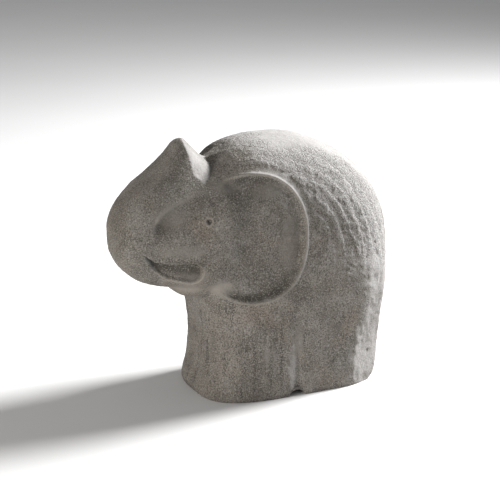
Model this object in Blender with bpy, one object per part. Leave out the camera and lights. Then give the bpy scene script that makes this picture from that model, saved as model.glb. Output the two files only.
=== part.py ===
"""A cast concrete elephant with its trunk raised, one solid casting that stands on its flat underside.

It faces -X, its left side faces -Y, and the origin is at the middle of the underside's level,
under the middle of the whole casting. Everything is in metres.

Free forms are given as shares: a share along is of LENGTH, from the trunk's front to the rump, a share
across is of half of WIDTH, and a share up is of HEIGHT.
"""

import math

import bmesh
import bpy
import numpy as np
from mathutils import Vector

# Driving sizes
LENGTH = 0.360
WIDTH = 0.170
HEIGHT = 0.322

# How finely the clay is worked, and how many facets the casting keeps
CLAY_GRAIN = 0.0015
BLEND_PASSES = 14
SETTLE_PASSES = 4
SOFTENING = 0.5
FACETS = 9400
RING_POINTS = 72
BODY_RINGS = 40
DOME_RINGS = 30
HEAD_RINGS = 50
TRUNK_RINGS = 60
EGG_SEGMENTS = (48, 32)
UNDERSIDE_DEPTH = 0.004

# Body and legs: (up, front, rear, across, squareness), then a dome over the last of them
BODY_STATIONS = (
    (0.000, 0.284, 0.914, 0.905, 3.4),
    (0.014, 0.278, 0.927, 0.915, 3.4),
    (0.047, 0.284, 0.937, 0.920, 3.4),
    (0.134, 0.298, 0.947, 0.912, 3.3),
    (0.236, 0.302, 0.956, 0.920, 3.2),
    (0.355, 0.288, 0.972, 0.950, 3.0),
    (0.455, 0.262, 0.986, 0.980, 2.9),
    (0.579, 0.220, 1.000, 0.985, 2.8),
)
# Rump: past an upright arris, (up, along), the sides draw in by a slope, in metres for each metre along, and
# the corner behind is squarer by a share. Each fades out between two heights
RUMP_ARRIS = (
    (0.000, 0.806),
    (0.170, 0.808),
    (0.270, 0.825),
    (0.354, 0.840),
    (0.455, 0.828),
    (0.579, 0.795),
)
RUMP_SLOPE = 0.42
RUMP_SLOPE_FADE = (0.42, 0.60)
RUMP_SQUARER = 0.55
RUMP_SQUARER_FADE = (0.34, 0.60)
DOME_APEX = (0.613, 0.990)
DOME_FULLNESS_FRONT = 2.45
DOME_FULLNESS_REAR = 1.80
DOME_FULLNESS_ACROSS = 2.9
DOME_SWEEP = (3, 88)

# Head: (up, front, rear, across, squareness), from the jaw to the brow
HEAD_STATIONS = (
    (0.440, 0.220, 0.900, 0.60, 2.6),
    (0.476, 0.120, 0.900, 0.80, 2.6),
    (0.538, 0.065, 0.900, 0.88, 2.6),
    (0.620, 0.045, 0.900, 0.91, 2.6),
    (0.682, 0.050, 0.900, 0.92, 2.6),
    (0.755, 0.090, 0.880, 0.91, 2.6),
    (0.807, 0.165, 0.860, 0.86, 2.6),
    (0.869, 0.275, 0.800, 0.74, 2.6),
    (0.915, 0.325, 0.700, 0.56, 2.6),
    (0.941, 0.380, 0.600, 0.35, 2.6),
)

# Trunk: (up, front, back, across, squareness), from under the chin to the tip
TRUNK_STATIONS = (
    (0.450, 0.165, 0.330, 0.30, 2.6),
    (0.470, 0.100, 0.360, 0.46, 2.6),
    (0.490, 0.066, 0.360, 0.52, 2.6),
    (0.520, 0.036, 0.360, 0.56, 2.6),
    (0.554, 0.016, 0.360, 0.60, 2.6),
    (0.649, 0.000, 0.360, 0.63, 2.6),
    (0.703, 0.004, 0.360, 0.63, 2.6),
    (0.750, 0.024, 0.360, 0.62, 2.6),
    (0.820, 0.078, 0.350, 0.57, 2.6),
    (0.885, 0.152, 0.335, 0.47, 2.5),
    (0.950, 0.208, 0.318, 0.32, 2.4),
    (0.988, 0.232, 0.290, 0.19, 2.2),
    (1.000, 0.247, 0.273, 0.08, 2.0),
)

# Throat: centre (along, up) and half sizes (along, across, up)
THROAT_CENTRE = (0.292, 0.456)
THROAT_HALF = (0.100, 0.62, 0.066)

# Notch between the trunk and the brow, from the crown to its side end. Each row is (along, across, up) of
# its root, then of the edge it leaves on the trunk, then of the edge it leaves on the brow
NOTCH_STATIONS = (
    ((0.320, 0.000, 0.930), (0.262, 0.000, 1.000), (0.375, 0.000, 0.965)),
    ((0.342, 0.180, 0.895), (0.255, 0.250, 0.965), (0.405, 0.220, 0.955)),
    ((0.330, 0.300, 0.880), (0.254, 0.380, 0.925), (0.395, 0.420, 0.935)),
    ((0.316, 0.390, 0.866), (0.257, 0.450, 0.890), (0.375, 0.550, 0.900)),
    ((0.280, 0.545, 0.843), (0.262, 0.570, 0.850), (0.306, 0.640, 0.862)),
    ((0.262, 0.640, 0.826), (0.256, 0.660, 0.829), (0.268, 0.670, 0.832)),
)
NOTCH_RINGS = 28
NOTCH_OVERLAP = 0.04
NOTCH_REACH = 1.7

# Ear: centre and radii (along, up), and the turn, in degrees from the rear, over which its rim shows
EAR_CENTRE = (0.431, 0.640)
EAR_RADII = (0.178, 0.243)
EAR_SQUARENESS = 2.25
EAR_TURN = (-112, 101)
EAR_TURN_FADE = 24
EAR_SIZE = 0.070
EAR_DISH = 0.0064
EAR_WALL = 0.0072
EAR_LEFT_EDGE = (0.30, 0.43)
EAR_RIM_HEIGHT = 0.0016
EAR_RIM_WIDTH = 0.0022

# Hollows and swellings on each side: (along, up, radius along, radius up, height)
SWELLS = (
    (0.410, 0.728, 0.026, 0.036, -0.0016),
    (0.390, 0.615, 0.028, 0.038, -0.0020),
    (0.480, 0.655, 0.050, 0.040, 0.0014),
    (0.510, 0.500, 0.040, 0.045, -0.0020),
    (0.340, 0.831, 0.012, 0.013, 0.0012),
    (0.352, 0.875, 0.030, 0.022, -0.0016),
    (0.195, 0.640, 0.090, 0.050, 0.0016),
)

# Fold between the trunk and the cheek: a ridge, (along, up, height), from the notch round to the dimple
FOLD_PATH = (
    (0.279, 0.833, 0.0004),
    (0.224, 0.809, 0.0008),
    (0.171, 0.786, 0.0012),
    (0.129, 0.761, 0.0014),
    (0.103, 0.722, 0.0010),
    (0.096, 0.680, 0.0004),
)
FOLD_WIDTH = 0.0042
# and the hollow under it: (along, up, depth)
HOLLOW_PATH = ((0.285, 0.800, 0.0004), (0.228, 0.778, 0.0014), (0.176, 0.752, 0.0026), (0.130, 0.712, 0.0042))
HOLLOW_WIDTH = 0.0085

# Mouth: (along, up, half height in metres), from its point to its round end
MOUTH_PATH = ((0.067, 0.608, 0.0008), (0.100, 0.568, 0.0045), (0.150, 0.543, 0.0097), (0.215, 0.535, 0.0128))
MOUTH_DEPTH = 0.0068
MOUTH_SHALLOWS = 0.42
MOUTH_SLOPE = (-1.0, 0.6)
MOUTH_WALL = 0.0024
MOUTH_LIP_HEIGHT = 0.0012
MOUTH_LIP_WIDTH = 0.0015
MOUTH_LIP_FADE = (0.003, 0.009)

# Eye: a ring round a small hole
EYE = (0.268, 0.730)
EYE_RADIUS = 0.0044
EYE_RING_WIDTH = 0.0013
EYE_RING_HEIGHT = 0.0013
EYE_HOLE_RADIUS = 0.0022
EYE_HOLE_DEPTH = 0.0024

# Groove between the fore leg and the hind leg, and the small arch it ends in
GROOVE = 0.590
GROOVE_TOP = 0.44
GROOVE_WIDTH = 0.0085
GROOVE_DEPTH = 0.0042
ARCH_WIDTH = 0.022
ARCH_HEIGHT = 0.0075
ARCH_DEPTH = 0.022

# Relief is carved where the skin faces sideways: none below the first share, all of it above the second
CARVED_FACING = (0.15, 0.45)


def place(along, across, up):
    """Shares to metres, with the trunk's front at x = 0."""
    return along * LENGTH, across * WIDTH / 2, up * HEIGHT


def through(stations, heights):
    """Smooth columns through the stations' rows, read at the given shares up."""
    table = np.array(stations)
    known, values = table[:, 0], table[:, 1:]
    slopes = np.gradient(values, known, axis=0)
    row = np.clip(np.searchsorted(known, heights) - 1, 0, len(known) - 2)
    span = (known[row + 1] - known[row])[:, None]
    t = (heights - known[row])[:, None] / span
    return (
        values[row] * (1 + 2 * t) * (1 - t) ** 2
        + values[row + 1] * t**2 * (3 - 2 * t)
        + slopes[row] * span * t * (1 - t) ** 2
        - slopes[row + 1] * span * t**2 * (1 - t)
    )


def ease(value, low, high):
    """0 below low, 1 above high, smooth between."""
    t = np.clip((value - low) / (high - low), 0, 1)
    return t * t * (3 - 2 * t)


def bump(distance, width):
    """1 at no distance, falling off over the width."""
    return np.exp(-((distance / width) ** 2))


def level_ring(up, front, rear, across, squareness, squarer=0.0, slope=0.0, arris=1.0):
    """One level section: a superellipse between its front and its rear.

    Its rear is squarer by a share, and its sides draw in by the slope past the arris.
    """
    middle, half = (front + rear) / 2, (rear - front) / 2
    points = []
    for step in range(RING_POINTS):
        angle = 2 * math.pi * step / RING_POINTS
        c, s = math.cos(angle), math.sin(angle)
        power = 2 / (squareness * (1 + squarer * (c > 0)))
        along = middle + half * math.copysign(abs(c) ** power, c)
        drawn_in = slope * max(0, along - arris) * LENGTH / (WIDTH / 2)
        side = min(across * abs(s) ** power, across - drawn_in)
        points.append(place(along, math.copysign(side, s), up))
    return points


def loft(bm, rings):
    """Skins a stack of rings, lowest first, and caps both ends."""
    loops = [[bm.verts.new(p) for p in ring] for ring in rings]
    for below, above in zip(loops, loops[1:]):
        for i in range(len(below)):
            j = (i + 1) % len(below)
            bm.faces.new((below[i], below[j], above[j], above[i]))
    bm.faces.new(list(reversed(loops[0])))
    bm.faces.new(loops[-1])


def add_column(bm, stations, rings):
    """A mass lofted through level sections."""
    heights = np.linspace(stations[0][0], stations[-1][0], rings)
    loft(bm, [level_ring(up, *row) for up, row in zip(heights, through(stations, heights))])


def add_body(bm):
    """Legs, flanks and the domed back."""
    lowest, highest = BODY_STATIONS[0], BODY_STATIONS[-1]
    heights = np.linspace(lowest[0], highest[0], BODY_RINGS)
    squarer = RUMP_SQUARER * (1 - ease(heights, *RUMP_SQUARER_FADE))
    slope = RUMP_SLOPE * (1 - ease(heights, *RUMP_SLOPE_FADE))
    rump = np.column_stack([squarer, slope, through(RUMP_ARRIS, heights)])
    rows = zip(heights, through(BODY_STATIONS, heights), rump)
    rings = [level_ring(up, *row, *rear) for up, row, rear in rows]
    rings.insert(0, level_ring(-UNDERSIDE_DEPTH / HEIGHT, *lowest[1:], *rump[0]))
    middle, top = DOME_APEX
    start, front, rear, across, squareness = highest
    for angle in np.radians(np.linspace(*DOME_SWEEP, DOME_RINGS)):
        rise = math.sin(angle)

        def shrink(fullness):
            return (1 - rise**fullness) ** (1 / fullness)

        rings.append(
            level_ring(
                start + (top - start) * rise,
                middle - (middle - front) * shrink(DOME_FULLNESS_FRONT),
                middle + (rear - middle) * shrink(DOME_FULLNESS_REAR),
                across * shrink(DOME_FULLNESS_ACROSS),
                squareness,
            )
        )
    loft(bm, rings)


def add_egg(bm, centre, half):
    """A rounded mass on the centreline."""
    around, upward = EGG_SEGMENTS
    made = bmesh.ops.create_uvsphere(bm, u_segments=around, v_segments=upward, radius=1.0)
    for vert in made["verts"]:
        x, y, z = vert.co
        vert.co = place(centre[0] + half[0] * x, half[1] * y, centre[1] + half[2] * z)


def mesh_object(name, fill):
    """A new object whose mesh the given function fills."""
    bm = bmesh.new()
    fill(bm)
    bmesh.ops.recalc_face_normals(bm, faces=bm.faces)
    mesh = bpy.data.meshes.new(name)
    bm.to_mesh(mesh)
    bm.free()
    obj = bpy.data.objects.new(name, mesh)
    bpy.context.scene.collection.objects.link(obj)
    return obj


def masses(bm):
    """Everything that is fused into the casting."""
    add_body(bm)
    add_column(bm, HEAD_STATIONS, HEAD_RINGS)
    add_column(bm, TRUNK_STATIONS, TRUNK_RINGS)
    add_egg(bm, THROAT_CENTRE, THROAT_HALF)


def bake(obj):
    """Applies the object's modifiers."""
    graph = bpy.context.evaluated_depsgraph_get()
    mesh = bpy.data.meshes.new_from_object(obj.evaluated_get(graph))
    obj.modifiers.clear()
    old, obj.data = obj.data, mesh
    bpy.data.meshes.remove(old)


def knead(obj, passes):
    """Fuses overlapping masses into one skin and softens where they meet."""
    remesh = obj.modifiers.new("fuse", "REMESH")
    remesh.mode = "VOXEL"
    remesh.voxel_size = CLAY_GRAIN
    smooth = obj.modifiers.new("soften", "SMOOTH")
    smooth.factor = SOFTENING
    smooth.iterations = passes
    bake(obj)


def cut_with(obj, cutter):
    """Takes the cutter's shape out of the object and removes the cutter."""
    cutter.hide_render = True
    cutter.display_type = "WIRE"
    cut = obj.modifiers.new("cut", "BOOLEAN")
    cut.operation = "DIFFERENCE"
    cut.solver = "EXACT"
    cut.object = cutter
    bake(obj)
    bpy.data.objects.remove(cutter)


def notch_cutter(side):
    """A curved wedge whose edge is the notch's root on one side."""
    table = [(root[1], *root, *trunk, *brow) for root, trunk, brow in NOTCH_STATIONS]
    spots = np.linspace(table[0][0], table[-1][0], NOTCH_RINGS)
    stations = through(table, spots).reshape(-1, 3, 3)
    inner = stations[:1] - np.array([0, NOTCH_OVERLAP, 0])
    stations = np.concatenate([inner, stations])

    def corner(root, edge):
        root = Vector(place(root[0], side * root[1], root[2]))
        edge = Vector(place(edge[0], side * edge[1], edge[2]))
        return root + (edge - root) * NOTCH_REACH

    rings = [[corner(root, root), corner(root, trunk), corner(root, brow)] for root, trunk, brow in stations]
    return mesh_object("notch", lambda bm: loft(bm, rings))


def arch_cutter(side):
    """A rounded arch that opens on one side between the legs."""

    def fill(bm):
        around, upward = EGG_SEGMENTS
        bmesh.ops.create_uvsphere(bm, u_segments=around, v_segments=upward, radius=1.0)
        x, y, _ = place(GROOVE, side * BODY_STATIONS[1][3], 0)
        for vert in bm.verts:
            vert.co = (x + vert.co.x * ARCH_WIDTH / 2, y + vert.co.y * ARCH_DEPTH, vert.co.z * ARCH_HEIGHT)

    return mesh_object("arch", fill)


def ear_reach(along, up):
    """Metres outside the ear's edge, the turn in degrees from the rear, and how much of the rim shows."""
    dx = (along - EAR_CENTRE[0]) / EAR_RADII[0]
    dz = (up - EAR_CENTRE[1]) / EAR_RADII[1]
    reach = (abs(dx) ** EAR_SQUARENESS + abs(dz) ** EAR_SQUARENESS) ** (1 / EAR_SQUARENESS)
    turn = np.degrees(np.arctan2(dz, dx))
    low, high = EAR_TURN
    shown = ease(turn, low - EAR_TURN_FADE, low) * (1 - ease(turn, high, high + EAR_TURN_FADE))
    return (reach - 1) * EAR_SIZE, turn, shown


def ear_relief(along, up):
    """A shallow dish inside a raised rim; towards the head both fade out."""
    outward, _, shown = ear_reach(along, up)
    rim = EAR_RIM_HEIGHT * bump(outward, EAR_RIM_WIDTH) * shown
    dish = EAR_DISH * ease(-outward, 0, EAR_WALL) * ease(along, *EAR_LEFT_EDGE)
    return rim - dish


def swell_relief(along, up):
    total = 0
    for a, b, half_a, half_b, height in SWELLS:
        total = total + height * np.exp(-(((along - a) / half_a) ** 2) - ((up - b) / half_b) ** 2)
    return total


def follow(path, along, up):
    """Metres from the path, metres above it, and its third value at the nearest place."""
    x, z = along * LENGTH, up * HEIGHT
    nearest = np.full_like(x, np.inf)
    above = np.zeros_like(x)
    value = np.zeros_like(x)
    for (a0, b0, v0), (a1, b1, v1) in zip(path, path[1:]):
        x0, z0, dx, dz = a0 * LENGTH, b0 * HEIGHT, (a1 - a0) * LENGTH, (b1 - b0) * HEIGHT
        t = np.clip(((x - x0) * dx + (z - z0) * dz) / (dx * dx + dz * dz), 0, 1)
        off_x, off_z = x - x0 - t * dx, z - z0 - t * dz
        distance = np.hypot(off_x, off_z)
        closer = distance < nearest
        nearest = np.where(closer, distance, nearest)
        above = np.where(closer, off_z, above)
        value = np.where(closer, v0 + t * (v1 - v0), value)
    return nearest, above, value


def fold_relief(along, up):
    distance, _, height = follow(FOLD_PATH, along, up)
    below, _, depth = follow(HOLLOW_PATH, along, up)
    return height * bump(distance, FOLD_WIDTH) - depth * bump(below, HOLLOW_WIDTH)


def mouth_relief(along, up):
    """A recess that is deepest under the upper lip, with a fine lip round it.

    Its floor slopes from MOUTH_SHALLOWS of the depth to the whole, between two shares of the half height.
    """
    distance, above, half = follow(MOUTH_PATH, along, up)
    inside = half - distance
    floor = MOUTH_SHALLOWS + (1 - MOUTH_SHALLOWS) * ease(above / half, *MOUTH_SLOPE)
    recess = MOUTH_DEPTH * ease(inside, 0, MOUTH_WALL) * floor
    lip = MOUTH_LIP_HEIGHT * ease(half, *MOUTH_LIP_FADE) * bump(inside + MOUTH_LIP_WIDTH, MOUTH_LIP_WIDTH)
    return lip - recess


def eye_relief(along, up):
    distance = np.hypot((along - EYE[0]) * LENGTH, (up - EYE[1]) * HEIGHT)
    ring = EYE_RING_HEIGHT * bump(distance - EYE_RADIUS, EYE_RING_WIDTH)
    return ring - EYE_HOLE_DEPTH * bump(distance, EYE_HOLE_RADIUS)


def groove_relief(along, up):
    off = (along - GROOVE) * LENGTH
    return -GROOVE_DEPTH * bump(off, GROOVE_WIDTH) * (1 - ease(up, 0, GROOVE_TOP))


def carve(obj):
    """Works the relief of both sides into the skin, along its normals."""
    mesh = obj.data
    count = len(mesh.vertices)
    where = np.empty(count * 3)
    mesh.vertices.foreach_get("co", where)
    where = where.reshape(-1, 3)
    normals = np.empty(count * 3)
    mesh.vertex_normals.foreach_get("vector", normals)
    normals = normals.reshape(-1, 3)
    along, up = where[:, 0] / LENGTH, where[:, 2] / HEIGHT
    height = ear_relief(along, up) + swell_relief(along, up) + mouth_relief(along, up)
    height = height + fold_relief(along, up) + eye_relief(along, up) + groove_relief(along, up)
    sideways = ease(abs(normals[:, 1]), *CARVED_FACING)
    where += normals * (height * sideways)[:, None]
    mesh.vertices.foreach_set("co", where.ravel())
    mesh.update()


def facet(obj):
    """Keeps only as many triangles as the form needs."""
    reduce = obj.modifiers.new("facet", "DECIMATE")
    reduce.decimate_type = "COLLAPSE"
    reduce.ratio = FACETS / (2 * len(obj.data.polygons))
    bake(obj)


def stand(obj):
    """Cuts the underside flat at ground level and centres the casting over the origin."""
    bm = bmesh.new()
    bm.from_mesh(obj.data)
    geometry = bm.verts[:] + bm.edges[:] + bm.faces[:]
    cut = bmesh.ops.bisect_plane(bm, geom=geometry, plane_co=(0, 0, 0), plane_no=(0, 0, 1), clear_inner=True)
    rim = [e for e in cut["geom_cut"] if isinstance(e, bmesh.types.BMEdge)]
    bmesh.ops.holes_fill(bm, edges=rim)
    xs = [v.co.x for v in bm.verts]
    ys = [v.co.y for v in bm.verts]
    middle = ((min(xs) + max(xs)) / 2, (min(ys) + max(ys)) / 2, 0)
    bmesh.ops.translate(bm, verts=bm.verts, vec=[-m for m in middle])
    bmesh.ops.recalc_face_normals(bm, faces=bm.faces)
    bm.to_mesh(obj.data)
    bm.free()


def concrete():
    material = bpy.data.materials.new("cast_concrete")
    material.use_nodes = True
    shader = material.node_tree.nodes["Principled BSDF"]
    shader.inputs["Base Color"].default_value = (0.20, 0.19, 0.175, 1.0)
    shader.inputs["Roughness"].default_value = 0.93
    shader.inputs["Metallic"].default_value = 0.0
    return material


def main():
    for obj in list(bpy.data.objects):
        bpy.data.objects.remove(obj)
    elephant = mesh_object("elephant", masses)
    knead(elephant, BLEND_PASSES)
    for side in (-1, 1):
        cut_with(elephant, notch_cutter(side))
        cut_with(elephant, arch_cutter(side))
    knead(elephant, SETTLE_PASSES)
    carve(elephant)
    facet(elephant)
    stand(elephant)
    elephant.data.materials.append(concrete())


main()
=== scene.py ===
"""The look of the cast concrete elephant: its full skin, weathered concrete, floor, lights and camera."""

import math

import bmesh
import bpy
import numpy as np
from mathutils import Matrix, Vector


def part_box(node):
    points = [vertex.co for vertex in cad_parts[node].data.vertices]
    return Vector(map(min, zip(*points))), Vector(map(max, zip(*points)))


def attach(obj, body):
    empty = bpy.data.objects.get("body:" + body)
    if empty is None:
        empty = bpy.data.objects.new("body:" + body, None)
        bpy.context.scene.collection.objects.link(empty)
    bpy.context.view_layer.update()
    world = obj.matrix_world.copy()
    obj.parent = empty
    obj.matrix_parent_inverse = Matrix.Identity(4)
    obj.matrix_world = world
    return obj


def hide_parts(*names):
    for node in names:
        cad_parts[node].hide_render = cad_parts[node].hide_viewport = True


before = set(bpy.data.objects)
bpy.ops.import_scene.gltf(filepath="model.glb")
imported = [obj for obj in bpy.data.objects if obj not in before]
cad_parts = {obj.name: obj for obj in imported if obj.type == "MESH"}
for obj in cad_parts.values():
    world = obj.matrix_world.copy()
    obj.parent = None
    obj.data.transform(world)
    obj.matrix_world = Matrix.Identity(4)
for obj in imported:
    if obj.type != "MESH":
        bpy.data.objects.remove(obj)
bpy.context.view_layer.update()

# Driving sizes
LENGTH = 0.360
WIDTH = 0.170
HEIGHT = 0.322

# How finely the masses are built and fused, and how far the legs reach down before they are cut level
CLAY_GRAIN = 0.0015
BLEND_PASSES = 14
SOFTENING = 0.5
RING_POINTS = 72
BODY_RINGS = 40
DOME_RINGS = 30
HEAD_RINGS = 50
TRUNK_RINGS = 60
EGG_SEGMENTS = (48, 32)
UNDERSIDE_DEPTH = 0.004

# Body and legs: (up, front, rear, across, squareness), then a dome over the last of them
BODY_STATIONS = (
    (0.000, 0.284, 0.914, 0.905, 3.4),
    (0.014, 0.278, 0.927, 0.915, 3.4),
    (0.047, 0.284, 0.937, 0.920, 3.4),
    (0.134, 0.298, 0.947, 0.912, 3.3),
    (0.236, 0.302, 0.956, 0.920, 3.2),
    (0.355, 0.288, 0.972, 0.950, 3.0),
    (0.455, 0.262, 0.986, 0.980, 2.9),
    (0.579, 0.220, 1.000, 0.985, 2.8),
)
# Rump: past an upright arris, (up, along), the sides draw in by a slope, in metres for each metre along, and
# the corner behind is squarer by a share. Each fades out between two heights
RUMP_ARRIS = (
    (0.000, 0.806),
    (0.170, 0.808),
    (0.270, 0.825),
    (0.354, 0.840),
    (0.455, 0.828),
    (0.579, 0.795),
)
RUMP_SLOPE = 0.42
RUMP_SLOPE_FADE = (0.42, 0.60)
RUMP_SQUARER = 0.55
RUMP_SQUARER_FADE = (0.34, 0.60)
DOME_APEX = (0.613, 0.990)
DOME_FULLNESS_FRONT = 2.45
DOME_FULLNESS_REAR = 1.80
DOME_FULLNESS_ACROSS = 2.9
DOME_SWEEP = (3, 88)

# Head: (up, front, rear, across, squareness), from the jaw to the brow
HEAD_STATIONS = (
    (0.440, 0.220, 0.900, 0.60, 2.6),
    (0.476, 0.120, 0.900, 0.80, 2.6),
    (0.538, 0.065, 0.900, 0.88, 2.6),
    (0.620, 0.045, 0.900, 0.91, 2.6),
    (0.682, 0.050, 0.900, 0.92, 2.6),
    (0.755, 0.090, 0.880, 0.91, 2.6),
    (0.807, 0.165, 0.860, 0.86, 2.6),
    (0.869, 0.275, 0.800, 0.74, 2.6),
    (0.915, 0.325, 0.700, 0.56, 2.6),
    (0.941, 0.380, 0.600, 0.35, 2.6),
)

# Trunk: (up, front, back, across, squareness), from under the chin to the tip
TRUNK_STATIONS = (
    (0.450, 0.165, 0.330, 0.30, 2.6),
    (0.470, 0.100, 0.360, 0.46, 2.6),
    (0.490, 0.066, 0.360, 0.52, 2.6),
    (0.520, 0.036, 0.360, 0.56, 2.6),
    (0.554, 0.016, 0.360, 0.60, 2.6),
    (0.649, 0.000, 0.360, 0.63, 2.6),
    (0.703, 0.004, 0.360, 0.63, 2.6),
    (0.750, 0.024, 0.360, 0.62, 2.6),
    (0.820, 0.078, 0.350, 0.57, 2.6),
    (0.885, 0.152, 0.335, 0.47, 2.5),
    (0.950, 0.208, 0.318, 0.32, 2.4),
    (0.988, 0.232, 0.290, 0.19, 2.2),
    (1.000, 0.247, 0.273, 0.08, 2.0),
)

# Throat: centre (along, up) and half sizes (along, across, up)
THROAT_CENTRE = (0.292, 0.456)
THROAT_HALF = (0.100, 0.62, 0.066)

# Notch between the trunk and the brow, from the crown to its side end. Each row is (along, across, up) of
# its root, then of the edge it leaves on the trunk, then of the edge it leaves on the brow
NOTCH_STATIONS = (
    ((0.320, 0.000, 0.930), (0.262, 0.000, 1.000), (0.375, 0.000, 0.965)),
    ((0.342, 0.180, 0.895), (0.255, 0.250, 0.965), (0.405, 0.220, 0.955)),
    ((0.330, 0.300, 0.880), (0.254, 0.380, 0.925), (0.395, 0.420, 0.935)),
    ((0.316, 0.390, 0.866), (0.257, 0.450, 0.890), (0.375, 0.550, 0.900)),
    ((0.280, 0.545, 0.843), (0.262, 0.570, 0.850), (0.306, 0.640, 0.862)),
    ((0.262, 0.640, 0.826), (0.256, 0.660, 0.829), (0.268, 0.670, 0.832)),
)
NOTCH_RINGS = 28
NOTCH_OVERLAP = 0.04
NOTCH_REACH = 1.7

# Ear: centre and radii (along, up), and the turn, in degrees from the rear, over which its rim shows
EAR_CENTRE = (0.431, 0.640)
EAR_RADII = (0.178, 0.243)
EAR_SQUARENESS = 2.25
EAR_TURN = (-112, 101)
EAR_TURN_FADE = 24
EAR_SIZE = 0.070
EAR_DISH = 0.0064
EAR_WALL = 0.0072
EAR_LEFT_EDGE = (0.30, 0.43)
EAR_RIM_HEIGHT = 0.0018
EAR_RIM_WIDTH = 0.0017

# Hollows and swellings on each side: (along, up, radius along, radius up, height)
SWELLS = (
    (0.410, 0.728, 0.026, 0.036, -0.0016),
    (0.390, 0.615, 0.028, 0.038, -0.0020),
    (0.480, 0.655, 0.050, 0.040, 0.0014),
    (0.510, 0.500, 0.040, 0.045, -0.0020),
    (0.340, 0.831, 0.012, 0.013, 0.0012),
    (0.352, 0.875, 0.030, 0.022, -0.0016),
    (0.195, 0.640, 0.090, 0.050, 0.0016),
)

# Fold between the trunk and the cheek: a ridge, (along, up, height), from the notch round to the dimple
FOLD_PATH = (
    (0.279, 0.833, 0.0004),
    (0.224, 0.809, 0.0008),
    (0.171, 0.786, 0.0012),
    (0.129, 0.761, 0.0014),
    (0.103, 0.722, 0.0010),
    (0.096, 0.680, 0.0004),
)
FOLD_WIDTH = 0.0042
# and the hollow under it: (along, up, depth)
HOLLOW_PATH = ((0.285, 0.800, 0.0004), (0.228, 0.778, 0.0014), (0.176, 0.752, 0.0026), (0.130, 0.712, 0.0042))
HOLLOW_WIDTH = 0.0085

# Mouth: (along, up, half height in metres), from its point to its round end
MOUTH_PATH = ((0.067, 0.608, 0.0008), (0.100, 0.568, 0.0045), (0.150, 0.543, 0.0097), (0.215, 0.535, 0.0128))
MOUTH_DEPTH = 0.0068
MOUTH_SHALLOWS = 0.42
MOUTH_SLOPE = (-1.0, 0.6)
MOUTH_WALL = 0.0024
MOUTH_LIP_HEIGHT = 0.0012
MOUTH_LIP_WIDTH = 0.0015
MOUTH_LIP_FADE = (0.003, 0.009)

# Eye: a ring round a small hole
EYE = (0.268, 0.730)
EYE_RADIUS = 0.0044
EYE_RING_WIDTH = 0.0013
EYE_RING_HEIGHT = 0.0013
EYE_HOLE_RADIUS = 0.0022
EYE_HOLE_DEPTH = 0.0024

# Groove between the fore leg and the hind leg, and the small arch it ends in
GROOVE = 0.590
GROOVE_TOP = 0.44
GROOVE_WIDTH = 0.0085
GROOVE_DEPTH = 0.0042
ARCH_WIDTH = 0.022
ARCH_HEIGHT = 0.0075
ARCH_DEPTH = 0.022

# Relief is carved where the skin faces sideways: none below the first share, all of it above the second
CARVED_FACING = (0.15, 0.45)

# Skin: the voxel it is worked at, and the triangles it keeps
SKIN_GRAIN = 0.00105
SKIN_PASSES = 7
SKIN_FACETS = 190000

# Numbers that shuffle the cells of a lattice
SHUFFLE_CELL = (73856093, 19349663, 83492791)
SHUFFLE_SEED = 2654435761
SHUFFLE_STIR = 1274126177

# Noises come in layers of (size, amount, seed). A size of three numbers is stretched: (x, y, z)
# Sand lumps in the skin, and the share of them that trowelled places lose
LUMPS = ((0.016, 0.00030, 31), (0.0065, 0.00028, 32), (0.0032, 0.00020, 33))
LUMPS_SMOOTHED = 0.85
# Between these shares up, the lumps and strokes fade in from the flat underside
FOOT_FADE = (0.0, 0.02)

# Combed mortar: strokes turn about a point, (along, up), beside the ear, and their run is counted at a radius
COMB_CENTRE = (0.470, 0.520)
COMB_RADIUS = 0.130
COMB_PITCH = 0.0150
COMB_HEIGHT = 0.0011
COMB_WANDER = ((0.080, 0.008, 11), (0.006, 0.0008, 12))
# Shares of the pitch: where each stroke's crest is, and where it drops off
COMB_CREST = 0.66
COMB_DROP = (0.74, 1.0)
# Strokes break off along their run, down to a share of their height, as a noise falls from the second value
# to the first. The noise differs from one stroke to the next, and slowly across the back
COMB_RUN = 0.090
COMB_RUN_SEED = 13
COMB_BREAK = (-0.4, 0.3)
COMB_LEFT = 0.25
COMB_APART = 0.05
COMB_ACROSS = 0.3
# Grit in the coat, and how much of it lies between strokes and is added on them
COMB_GRIT = ((0.0046, 0.00012, 18), (0.0028, 0.00030, 19))
GRIT_BETWEEN = 0.8
GRIT_ON_STROKES = 0.6

# Coat of mortar: its thickness, the share of it that lies under the skin, and its ragged lower edge, which
# passes through a place, (along, up), and falls to the rear
COAT_THICKNESS = 0.0009
COAT_SUNK = 0.5
COAT_EDGE = (0.60, 0.66)
COAT_EDGE_FALL = 0.55
COAT_EDGE_FADE = (-0.02, 0.035)
COAT_EDGE_RAG = (((0.014, 0.014, 0.040), 0.055, 14),)
# It starts behind the brow, between two shares along, and outside the ear, between two distances
COAT_FRONT = (0.30, 0.42)
COAT_FRONT_LEAN = 0.05
COAT_OFF_EAR = (0.004, 0.012)
# Fainter strokes below it on the rump: how much of them, and where they fade in
FAINT = 0.55
FAINT_UP = (0.30, 0.62)
FAINT_ALONG = (0.60, 0.72)

# The back's ridge is trowelled bare of it: how bare, from the first share along to the second, and across
# likewise
BARE = 0.85
BARE_FROM = (0.54, 0.66)
BARE_LEAN = 0.5
BARE_RAG = ((0.016, 0.04, 17),)
BARE_ACROSS = (0.45, 0.75)
# Both edges lean about this share up
LEAN_UP = 0.8

# Skin that hardly faces sideways counts as this far from the ear
EAR_FACING = 0.2
EAR_FAR = 0.02

# Vertical rills on the legs, which fade out between two shares up
RILL_SIZE = (0.0085, 0.0085, 0.070)
RILL_DEPTH = 0.00045
RILL_SEED = 21
RILL_FADE = (0.34, 0.46)

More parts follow.
